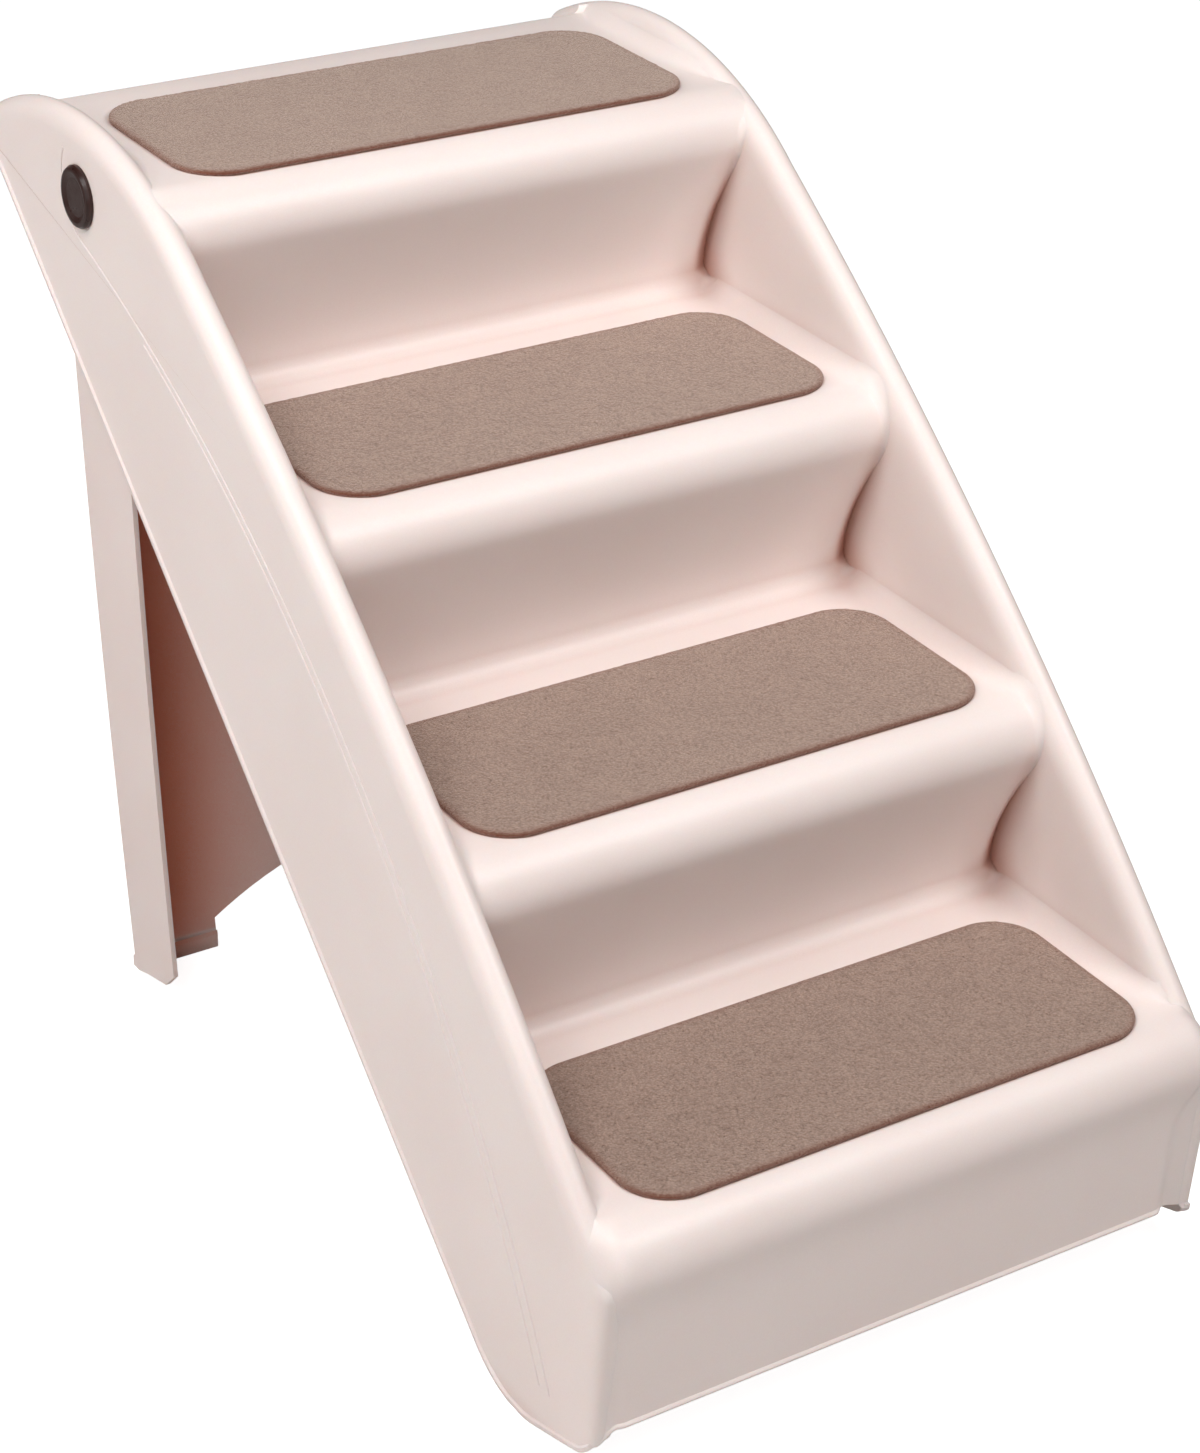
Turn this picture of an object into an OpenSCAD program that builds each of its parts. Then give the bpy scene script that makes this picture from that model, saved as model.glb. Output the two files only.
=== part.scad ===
// Folding pet stairs: a moulded stair shell between two hollow side rails, a hinged support leg,
// four carpet pads and the two hinge pins with their retainers. Millimetres, +Z up, +Y to the rear.
// The origin is on the floor, at the middle of the width and of the depth.

/* [Stairs] */
// Width over the two side panels
stair_w = 390; // [340:5:460]
// Height of the first tread above the floor
first_rise = 149; // [140:1:156]
// Rise from one tread to the next
rise = 124; // [116:1:132]
// Run from one nosing to the next
run = 154; // [146:1:162]
// Depth of the top step, from its nosing to the rear corners
top_d = 218; // [208:1:228]
// Wall thickness of the mouldings
wall = 3; // [2.4:0.1:3.6]

/* [Steps] */
// Radius of the rolled nosings
nose_r = 25; // [20:1:28]
// How much the open nosings' ends draw in where they meet the rails
nose_taper = 11; // [8:0.5:13]
// How far the risers lean back towards their foot
riser_lean = 17.5; // [10:0.5:20]
// Radius of the cove where a riser meets the tread below
cove_r = 10; // [6:1:16]
// Depth of the flat top tread behind its nosing
top_flat_d = 180; // [170:1:186]
// Lean of the front panel below the first nosing
front_lean = 3.6; // [2:0.2:5]
// Height of the front panel's lower edge above the floor
front_gap = 32; // [24:1:40]
// Radius of the roll at the rear edge of the top tread
rear_roll_r = 6; // [4:0.5:8]
// Height of the stiffening ribs under the steps
rib_h = 18; // [10:1:19]
// Thickness of the stiffening ribs
rib_t = 2.4; // [1.8:0.1:3]
// Distance of the outer ribs from the middle
rib_x = 88; // [60:1:110]

/* [Side rails] */
// Thickness of a hollow side rail, rounded over its crest
rail_w = 18; // [16:1:22]
// Radius of the long bowed crest
crest_r = 2500; // [2200:50:3200]
// Where the crest reaches the first tread, behind the first nosing
crest_set = 30; // [26:1:36]
// Height of the hump over the top tread
hump_h = 17; // [12:1:22]
// Distance of the hump's peak behind the top nosing
hump_set = 107; // [100:1:112]
// Radius of the hump
hump_r = 225; // [215:1:235]
// Slope of the hump where it leaves the long crest
shoulder_a = 38; // [37:0.5:40]
// Radius of the heel on which each side panel stands
heel_r = 60; // [50:1:70]
// Distance of the heel behind the first nosing
heel_set = 80; // [70:1:90]
// Width of the flat worn on the heel
heel_flat = 14; // [8:1:18]
// Angle of the lower edge in front of the heel
toe_lean = 17.7; // [12:0.5:20]
// Radius of the rear upper corners
corner_r = 12; // [9:0.5:15]
// Radius of the front upper corners
brow_r = 14; // [10:1:18]
// Set-back of the corner posts behind the front panel
post_set = 3.5; // [2:0.5:5]
// Width of the eased edge of the corner posts
post_ease = 5; // [3:0.5:7]
// Height of the hem along the lower and rear edges
hem_h = 3; // [2:0.5:5]
// How far the hem stands out
hem_t = 1.5; // [1:0.1:2]

/* [Panel lines] */
// Radius of the two raised lines on each side panel
line_r = 860; // [800:10:920]
// Width of a raised line; it stands out by half of that
line_w = 1.4; // [1:0.1:2]
// Distance of the first line's upper end below the hinge
line_drop = 26; // [22:1:32]
// Distance of the first line's foot behind the first nosing
line_set = 49; // [44:1:56]
// Height of the lines' feet above the floor
line_h = 30; // [24:1:40]
// Distance of the second line behind the first
line_gap = 10; // [6:1:14]
// How much later the second line starts along the arc
line_lag = 6; // [3:1:12]

/* [Carpet pads] */
// Width of a carpet pad
pad_w = 320; // [260:5:328]
// Depth of a carpet pad
pad_d = 127; // [110:1:130]
// Thickness of a carpet pad
pad_t = 3; // [2:0.5:5]
// Corner radius of a carpet pad
pad_r = 28; // [20:1:45]
// Set-back of a carpet pad behind the nosing's front
pad_set = 20; // [16:1:24]

/* [Support leg] */
// Distance of the hinge behind the top nosing
hinge_set = 89.6; // [84:0.2:94]
// Depth of the hinge below the top tread
hinge_drop = 24.3; // [23.5:0.1:28]
// Depth of the leg in front of the hinge
leg_front = 16.6; // [14:0.2:18]
// Depth of the leg behind the hinge
leg_back = 49.6; // [46:0.2:52]
// Lean of the leg, foot forward
leg_lean = 6.3; // [5:0.1:7]
// Forward bow taken out of the leg's edges at mid height
leg_bow = 6; // [2:0.5:8]
// Depth of the leg at its foot
leg_foot_d = 56; // [48:1:60]
// Gap between the leg's flanges and the rails' inner walls
leg_side_gap = 1; // [0.6:0.1:1.6]
// Thickness of the foot
foot_t = 7; // [5:0.5:9]
// Height of the foot's hem
foot_h = 9; // [6:0.5:12]
// How far the foot's hem stands out behind the panel
foot_out = 3.5; // [2:0.5:5]
// Half the clear width between the two feet
arch_x = 130; // [100:1:150]
// Height of the feet's inner sides
arch_side = 19; // [12:1:26]
// Height of the arch in the middle of the panel
arch_h = 54; // [40:1:70]

/* [Hinge pins] */
// Radius of the pins' shafts
pin_r = 6; // [5:0.1:7]
// Running clearance around the shafts
pin_gap = 0.05; // [0.03:0.01:0.08]
// Radius of the pins' caps
cap_r = 17.5; // [15:0.5:20]
// Thickness of the pins' caps
cap_t = 4; // [3:0.5:5]
// Depth of the dish in the caps
dish = 1.2; // [0.6:0.1:1.6]
// Radius of the bosses and of the retainers
boss_r = 11; // [9.5:0.5:12]
// Thickness of the retainers
retainer_t = 3; // [2.4:0.2:4]
// Clearance between faces that turn beside each other
side_gap = 0.3; // [0.2:0.05:0.5]

/* [Hidden] */
$fn = 64;
treads = 4;
blush = "#e6d6d3";
taupe = "#a08a80";
brown = "#3c2826";

// Overrun of every cut
over = wall;
// How far an arc bites past the straight lines that it joins, and cuts past each other
bite = wall / 750;
// Reach of the outlines that are cut off by others
reach = stair_w;
half_w = stair_w / 2;
trough_x = half_w - rail_w;
stair_d = (treads - 1) * run + top_d;

// Places in the side view are [y, z].
function front(k) = -stair_d / 2 + (k - 1) * run;
function top(k) = first_rise + (k - 1) * rise;
function nose(k) = [front(k) + nose_r, top(k) - nose_r];
function unit(v) = v / norm(v);
function lerp(a, b, s) = a + (b - a) * s;
function left_of(u) = [-u[1], u[0]];

// The place at distance a from p and b from q that lies to the left of the way from p to q
function meet(p, a, q, b) =
    let (u = unit(q - p), d = norm(q - p), along = (a * a - b * b + d * d) / (2 * d))
    p + along * u + sqrt(a * a - along * along) * left_of(u);

// Risers face forwards and a little down
riser_n = [-cos(riser_lean), -sin(riser_lean)];
front_n = [-cos(front_lean), -sin(front_lean)];
function cove(k) =
    [nose(k + 1)[0] + (sin(riser_lean) * (nose(k + 1)[1] - top(k) - cove_r) - nose_r - cove_r) / cos(riser_lean),
     top(k) + cove_r];
tread_end = front(treads) + top_flat_d;

// Heel, rear corner and the straight back edge that touches both
heel_dip = heel_r - sqrt(heel_r * heel_r - heel_flat * heel_flat / 4);
heel = [front(1) + heel_set, heel_r - heel_dip];
peak = [front(treads) + hump_set, top(treads) + hump_h];
hump = peak - [0, hump_r];
corner_y = stair_d / 2 - corner_r;
corner = [corner_y, hump[1] + sqrt((hump_r - corner_r) * (hump_r - corner_r) - (corner_y - hump[0]) * (corner_y - hump[0]))];
back_a = atan2(corner[1] - heel[1], corner[0] - heel[0]) + asin((heel_r - corner_r) / norm(corner - heel));
back_n = [sin(back_a), -cos(back_a)];
toe_n = [-sin(toe_lean), -cos(toe_lean)];

// Crest: a hump over the top tread, and one long bow from its shoulder down to the first nosing
shoulder = hump + hump_r * [-sin(shoulder_a), cos(shoulder_a)];
crest_foot = [front(1) + crest_set, top(1)];
crest = meet(shoulder, crest_r, crest_foot, crest_r);
crest_a = atan2(shoulder[1] - crest[1], shoulder[0] - crest[0]);
corner_a = atan2(corner[1] - hump[1], corner[0] - hump[0]);
// Depth of the rails' sectors, more than the panels are deep
sector_d = hump_r * 0.85;

// How far the two sectors reach beyond the crest's own ends, before the side view trims them
crest_lap = 0.25;
crest_turn = 20;
hump_before = 10;
hump_after = 96;

// Post line: the front panel's line moved back; the brow rounds it into the crest
post_off = front_n * (nose_r - post_set);
brow_base = nose(1) + front_n * (nose_r - post_set - brow_r);
front_dir = [-front_n[1], front_n[0]];
brow_to = brow_base - crest;
brow_b = brow_to * front_dir;
brow_s = -brow_b - sqrt(brow_b * brow_b - brow_to * brow_to + (crest_r - brow_r) * (crest_r - brow_r));
brow = brow_base + front_dir * brow_s;
brow_out = unit(brow - crest);

// Hinge and leg
hinge = [front(treads) + hinge_set, top(treads) - hinge_drop];
flange_out = trough_x + wall + leg_side_gap + wall;
boss_x = flange_out + side_gap;
leg_top = hinge[1] + leg_front * 0.62;
foot_back = hinge[0] + leg_back - hinge[1] * tan(leg_lean);
leg_steps = 10;
fold_a = atan2(hinge[1], hinge[0] + leg_back - foot_back) - back_a;

// The raised lines' common arc, from below the hinge down to the toe
line_top = hinge - [0, line_drop];
line_foot = [front(1) + line_set, line_h];
line_c = meet(line_top, line_r, line_foot, line_r);
line_from = atan2(line_top[1] - line_c[1], line_top[0] - line_c[0]);
line_to = atan2(line_foot[1] - line_c[1], line_foot[0] - line_c[0]);

// Lays a side view out across the width: its x is the stairs' y, its y is the stairs' z
module across(from, to) {
    translate([from, 0, 0]) rotate([90, 0, 90]) linear_extrude(height = to - from) children();
}

module mirrored() {
    children();
    mirror([1, 0, 0]) children();
}

// Everything under the stepped surface, drawn in by a distance
module stair_region(in) {
    r = nose_r - in;
    c = cove_r + in;
    roll = rear_roll_r - in;
    difference() {
        union() {
            polygon(concat(
                [nose(1) + front_n * r + front_dir * reach, nose(1) + front_n * r],
                [for (k = [1 : treads]) each concat(
                    k > 1 ? [cove(k - 1) - [0, c], cove(k - 1), cove(k - 1) - riser_n * c, nose(k) + riser_n * r] : [],
                    [nose(k) + [0, r]])],
                roll > 0 ? [[tread_end - rear_roll_r, top(treads) - in], [tread_end - in, top(treads) - rear_roll_r]]
                    : [[tread_end - in, top(treads) - in]],
                [[tread_end - in, -over], [front(1), -reach]]));
            for (k = [1 : treads]) translate(nose(k)) circle(r = r + bite);
            if (roll > 0) translate([tread_end - rear_roll_r, top(treads) - rear_roll_r]) circle(r = roll + bite);
        }
        for (k = [1 : treads - 1]) translate(cove(k)) circle(r = c + bite);
    }
}

// The side panel's lower, rear and front edges; the crest comes from the rails' own sweep.
// The post line moves in by front_in and the other edges by edge_in.
module panel_region(front_in, edge_in) {
    h = heel_r - edge_in;
    k = corner_r - edge_in;
    b = brow_r - front_in;
    post = brow + front_n * b;
    // Where the post line meets the lower edge
    toe_at = (heel + toe_n * h - post) * toe_n / (-(front_dir * toe_n));
    toe = post - front_dir * toe_at;
    out = unit(corner - hump);
    polygon([brow + brow_out * (b + reach), brow + brow_out * b, post, toe, heel + toe_n * h, heel + [0, -h],
             heel + back_n * h, corner + back_n * k, corner + out * k, corner + out * (k + reach)]);
    translate(heel) circle(r = h + bite, $fn = 96);
    translate(corner) circle(r = k + bite);
    translate(brow) circle(r = b + bite);
}

// A rail's upright section with its full-round crest, at a radius
module rail_section(r, w) {
    translate([r - sector_d, -w / 2]) square([sector_d - w / 2, w]);
    translate([r - w / 2, 0]) circle(r = w / 2, $fn = 32);
}

module sector(centre, r, w, from, to) {
    translate([centre[0], centre[1], 0]) rotate([0, 0, from])
        rotate_extrude(angle = to - from, $fn = r > hump_r * 2 ? 720 : 180) rail_section(r, w);
}

// One rail, swept along the crest; in draws it in for the hollow.
// Its wall is a bite thinner under the hump, so that the two sectors' sides never share a plane.
module rail_sweep(in) {
    w = rail_w - 2 * in;
    translate([half_w - rail_w / 2, 0, 0]) rotate([90, 0, 90]) {
        sector(crest, crest_r - in, w, crest_a - crest_lap, crest_a + crest_turn);
        sector(hump, hump_r - in, in > 0 ? w + 2 * bite : w - 2 * bite, corner_a - hump_before, shoulder_a + hump_after);
    }
}

// Eases the outer edge of a corner post
module post_cut() {
    e = post_ease;
    base = nose(1) + post_off;
    translate([half_w, base[0], base[1]]) rotate([-front_lean, 0, 0])
        translate([0, 0, -reach / 2]) linear_extrude(height = reach)
            polygon([[-e, -over], [-e, 0], [-e * 0.35, e * 0.12], [-e * 0.12, e * 0.35], [0, e], [over, e], [over, -over]]);
}

// One raised line on a side panel: a bead along the arc, half sunk in the panel
module panel_line(back, from) {
    translate([half_w, line_c[0] + back, line_c[1]]) rotate([90, 0, 90]) rotate([0, 0, from])
        rotate_extrude(angle = line_to - from, $fn = 360) translate([line_r, 0]) circle(r = line_w / 2, $fn = 12);
}

// Tapered, hollow end of a nosing that stands above its rail
module nose_end(k) {
    translate([trough_x, nose(k)[0], nose(k)[1]]) rotate([0, 90, 0]) difference() {
        cylinder(r1 = nose_r, r2 = nose_r - nose_taper, h = rail_w / 2);
        cylinder(r1 = nose_r - wall, r2 = nose_r - wall - nose_taper, h = rail_w / 2 + bite);
    }
}

module stair_shell() {
    color(blush) difference() {
        union() {
            difference() {
                union() {
                    mirrored() difference() {
                        intersection() {
                            rail_sweep(0);
                            across(0, half_w + over) panel_region(0, 0);
                        }
                        post_cut();
                    }
                    across(-trough_x - wall / 2, trough_x + wall / 2) intersection() {
                        stair_region(0);
                        panel_region(-post_set - over, 0);
                        translate([-reach * 2, front_gap]) square([reach * 4, reach * 4]);
                    }
                }
                mirrored() intersection() {
                    rail_sweep(wall);
                    across(0, half_w) panel_region(wall, -over);
                }
                // Under the steps; their edges stay thicker, and reach back to the corner posts
                across(-trough_x, trough_x) stair_region(wall);
                across(-trough_x - wall - bite, trough_x + wall + bite) stair_region(wall + post_set);
            }
            mirrored() {
                nose_end(1);
                nose_end(treads);
            }
            // Hem along the side panels' lower and rear edges
            mirrored() across(half_w - wall / 2, half_w + hem_t) intersection() {
                difference() {
                    panel_region(0, 0);
                    panel_region(-over, hem_h);
                }
                translate([-reach * 2, -over]) square([reach * 4, corner[1] + over]);
            }
            // Hem along the front panel's lower edge
            across(-trough_x, trough_x) intersection() {
                difference() {
                    translate(front_n * hem_t) stair_region(0);
                    stair_region(wall / 2);
                }
                translate([-reach, front_gap]) square([reach, hem_h]);
            }
            // Ribs that follow the steps' underside, kept clear of the folding leg
            for (x = [-rib_x, 0, rib_x]) across(x - rib_t / 2, x + rib_t / 2) intersection() {
                difference() {
                    stair_region(wall / 2);
                    stair_region(wall + rib_h);
                }
                panel_region(0, hem_h * 2);
                translate([-reach * 2, front_gap + hem_h * 2])
                    square([reach * 2 + hinge[0] + leg_back - wall * 3, reach * 4]);
            }
            // Stop rib over the leg's top edge
            across(-trough_x, trough_x)
                translate([hinge[0] + leg_back - foot_t, leg_top + side_gap])
                    square([foot_t, top(treads) - wall / 2 - leg_top - side_gap]);
            mirrored() {
                panel_line(0, line_from);
                panel_line(line_gap, line_from + line_lag);
            }
            // Hinge bosses
            mirrored() translate([boss_x, hinge[0], hinge[1]]) rotate([0, 90, 0])
                cylinder(r = boss_r, h = half_w - wall / 2 - boss_x);
        }
        mirrored() translate([boss_x - over, hinge[0], hinge[1]]) rotate([0, 90, 0])
            cylinder(r = pin_r + pin_gap, h = rail_w * 2);
        translate([-reach, -reach, -reach]) cube([reach * 2, reach * 2, reach]);
    }
}

// A carpet pad with round corners, on tread k
module tread_pad(k) {
    color(taupe) translate([0, front(k) + pad_set + pad_d / 2, top(k) + bite]) linear_extrude(height = pad_t) {
        square([pad_w - 2 * pad_r, pad_d], center = true);
        square([pad_w, pad_d - 2 * pad_r], center = true);
        for (sx = [-1, 1], sy = [-1, 1]) translate([sx * (pad_w / 2 - pad_r), sy * (pad_d / 2 - pad_r)]) circle(r = pad_r);
    }
}

// A point down the leg's edge: s is 0 at the hinge and 1 on the floor
function leg_edge(y_top, y_foot, s) =
    [lerp(y_top, y_foot, s) + leg_bow * 4 * s * (1 - s), lerp(hinge[1], 0, s)];

module leg_back_edge(in) {
    y_top = hinge[0] + leg_back;
    polygon(concat(
        [[hinge[0], leg_top], [y_top - in, leg_top]],
        [for (i = [0 : leg_steps]) leg_edge(y_top - in, foot_back - in, i / leg_steps)],
        [[foot_back - leg_foot_d, 0], [foot_back - leg_foot_d, hinge[1]]]));
}

module flange_region() {
    y_front = foot_back - leg_foot_d;
    intersection() {
        leg_back_edge(0);
        union() {
            polygon(concat(
                [for (i = [0 : leg_steps]) leg_edge(hinge[0] - leg_front, y_front, i / leg_steps)],
                [[foot_back + leg_front, 0], [hinge[0] + leg_back + leg_front, hinge[1]],
                 [hinge[0] + leg_back + leg_front, leg_top], [hinge[0], leg_top]]));
            translate(hinge) circle(r = leg_front + bite);
        }
    }
    translate(hinge) circle(r = leg_front + bite);
}

// What is left open under the front corner of a flange
module flange_foot_cut() {
    y_front = foot_back - leg_foot_d;
    polygon([[y_front - over, -over], [y_front - over, arch_side * 1.4], [y_front + leg_foot_d * 0.02, arch_side * 1.3],
             [y_front + leg_foot_d * 0.26, foot_h * 1.2], [y_front + leg_foot_d * 0.7, foot_h * 0.5],
             [foot_back - foot_t + foot_out, 0], [foot_back - foot_t + foot_out, -over]]);
}

module support_leg() {
    color(blush) difference() {
        union() {
            mirrored() across(flange_out - wall, flange_out) difference() {
                flange_region();
                flange_foot_cut();
            }
            // Rear panel between the flanges
            across(-flange_out + wall / 2, flange_out - wall / 2) difference() {
                leg_back_edge(0);
                leg_back_edge(wall);
                translate([hinge[0] - reach, -over]) square([reach - leg_front, reach * 2]);
            }
            // Feet with a flat sole
            mirrored() across(arch_x, flange_out)
                polygon([[foot_back - foot_t + foot_out, 0], [foot_back + foot_out, 0],
                         [foot_back + foot_out, foot_h * 0.8], [foot_back + foot_out * 0.3, foot_h],
                         [foot_back - wall, foot_h * 1.3], [foot_back - foot_t + foot_out, foot_h]]);
        }
        // Arch between the feet
        arch_rr = (arch_x * arch_x + (arch_h - arch_side) * (arch_h - arch_side)) / (2 * (arch_h - arch_side));
        translate([0, foot_back + reach / 2, 0]) rotate([90, 0, 0]) linear_extrude(height = reach) intersection() {
            translate([-arch_x, -over]) square([arch_x * 2, arch_h + over * 2]);
            translate([0, arch_h - arch_rr]) circle(r = arch_rr, $fn = 240);
        }
        mirrored() translate([flange_out - rail_w, hinge[0], hinge[1]]) rotate([0, 90, 0])
            cylinder(r = pin_r + pin_gap, h = rail_w * 2);
    }
}

// Pin with a dished cap, along +X, its cap's seat at the side panel
module hinge_pin() {
    reach_in = half_w - (flange_out - wall - side_gap - retainer_t);
    color(brown) translate([half_w, hinge[0], hinge[1]]) rotate([0, 90, 0]) rotate_extrude($fn = 96)
        polygon([[0, -reach_in], [pin_r * 0.85, -reach_in], [pin_r, -reach_in + pin_r * 0.15], [pin_r, 0], [cap_r, 0],
                 [cap_r, cap_t * 0.45], [cap_r * 0.93, cap_t * 0.9], [cap_r * 0.86, cap_t], [cap_r * 0.8, cap_t],
                 [cap_r * 0.62, cap_t - dish], [0, cap_t - dish]]);
}

// Press-on retainer at the inner end of a pin
module pin_retainer() {
    seat = flange_out - wall - side_gap - retainer_t;
    color(brown) translate([seat, hinge[0], hinge[1]]) rotate([0, 90, 0]) rotate_extrude($fn = 96)
        polygon([[pin_r + pin_gap / 2, 0], [boss_r * 0.8, 0], [boss_r, retainer_t * 0.4], [boss_r, retainer_t],
                 [pin_r + pin_gap / 2, retainer_t]]);
}

stair_shell();
tread_pad(1);  // tread_pad_1
tread_pad(2);  // tread_pad_2
tread_pad(3);  // tread_pad_3
tread_pad(4);  // tread_pad_4
support_leg();
mirror([1, 0, 0]) hinge_pin();  // hinge_pin_left
hinge_pin();  // hinge_pin_right
mirror([1, 0, 0]) pin_retainer();  // pin_retainer_left
pin_retainer();  // pin_retainer_right
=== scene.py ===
# %% [markdown]
# # Folding pet stairs
# The stairs are one moulding of four steps between two hollow side rails, with a folding support leg,
# carpet pads and two hinge pins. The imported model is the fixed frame: every piece here is in metres and
# sits where the frame has it.

# %% Load the fixed frame
import math

import bmesh
import bpy
from mathutils import Euler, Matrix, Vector, noise
from mathutils.kdtree import KDTree


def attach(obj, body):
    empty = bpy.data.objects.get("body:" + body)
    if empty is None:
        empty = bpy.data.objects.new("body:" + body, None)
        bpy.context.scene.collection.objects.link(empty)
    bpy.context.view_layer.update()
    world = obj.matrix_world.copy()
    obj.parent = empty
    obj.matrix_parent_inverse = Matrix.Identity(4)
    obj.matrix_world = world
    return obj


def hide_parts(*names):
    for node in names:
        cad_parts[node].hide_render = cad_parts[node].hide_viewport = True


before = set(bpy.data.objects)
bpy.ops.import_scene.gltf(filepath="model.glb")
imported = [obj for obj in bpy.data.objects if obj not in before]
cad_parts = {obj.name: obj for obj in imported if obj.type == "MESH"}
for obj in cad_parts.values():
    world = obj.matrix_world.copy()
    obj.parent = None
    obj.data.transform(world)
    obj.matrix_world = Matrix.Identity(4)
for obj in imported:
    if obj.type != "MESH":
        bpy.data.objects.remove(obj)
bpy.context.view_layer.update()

print("nodes:", sorted(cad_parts))

# %% [markdown]
# The camera comes first, because the photograph decides how much detail each side needs. It was found by
# fitting the stairs' measured corners to the picture, and stands a little above and to the left of them.

# %% Camera at the photograph's view
LONG_SIDE_PX = 1453
FOCAL_PX = 3446.8

cam = bpy.data.objects.new("camera", bpy.data.cameras.new("camera"))
bpy.context.collection.objects.link(cam)
cam.data.sensor_width = 36
cam.data.lens = FOCAL_PX / LONG_SIDE_PX * cam.data.sensor_width
cam.data.shift_y = 6.3 / LONG_SIDE_PX
cam.location = (-0.9195, -1.4191, 1.1614)
cam.rotation_euler = Euler([math.radians(a) for a in (60.744, -1.656, -32.393)])
cam.data.clip_end = 20
bpy.context.scene.camera = cam
print("lens", round(cam.data.lens, 2), "mm")

# %% [markdown]
# Sizes repeat the moulding's own, in millimetres, and `mm` turns them into Blender's metres. Places in the
# side view are (y, z) pairs.

# %% Sizes of the mouldings
mm = 0.001
WALL = 3
RAIL_W = 18
HALF_W = 195
TROUGH_X = HALF_W - RAIL_W
RISE, RUN, FIRST = 124, 154, 149
FRONT = -340
NOSE_R, COVE_R = 25, 10
TREAD_END = 302
REAR_R = 6
BOW_R, HUMP_R, CORNER_R = 2500, 225, 12
HEEL_R, HEEL_FLAT = 60, 14
POST_FOOT = (-329.93, 18.93)
HINGE = (211.6, 496.7)

print("trough half width", TROUGH_X, "mm")

# %% [markdown]
# One small function adds a shader node, sets its inputs and links it. Colours are written as sRGB hex
# values, and one function turns them to the linear values that the shader works in.

# %% Helpers for materials
def linear(hex_colour):
    """An sRGB hex colour as linear RGBA."""
    parts = [int(hex_colour[i:i + 2], 16) / 255 for i in (1, 3, 5)]
    return [c / 12.92 if c <= 0.04045 else ((c + 0.055) / 1.055) ** 2.4 for c in parts] + [1]


def add_node(tree, kind, place, inputs=None, **settings):
    """Adds a node with its settings, its input values and its links (a link is an output socket)."""
    made = tree.nodes.new(kind)
    made.location = place
    for name, value in settings.items():
        setattr(made, name, value)
    for name, value in (inputs or {}).items():
        if isinstance(value, bpy.types.NodeSocket):
            tree.links.new(value, made.inputs[name])
        else:
            made.inputs[name].default_value = value
    return made


def new_material(name, **shader):
    """A material with one Principled shader, whose constants are set on its own sockets."""
    material = bpy.data.materials.new(name)
    material.use_nodes = True
    tree = material.node_tree
    surface = tree.nodes["Principled BSDF"]
    for socket, value in shader.items():
        surface.inputs[socket.replace("_", " ")].default_value = value
    return material, tree, surface


print("blush as linear:", [round(c, 3) for c in linear("#ead8d4")])
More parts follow.
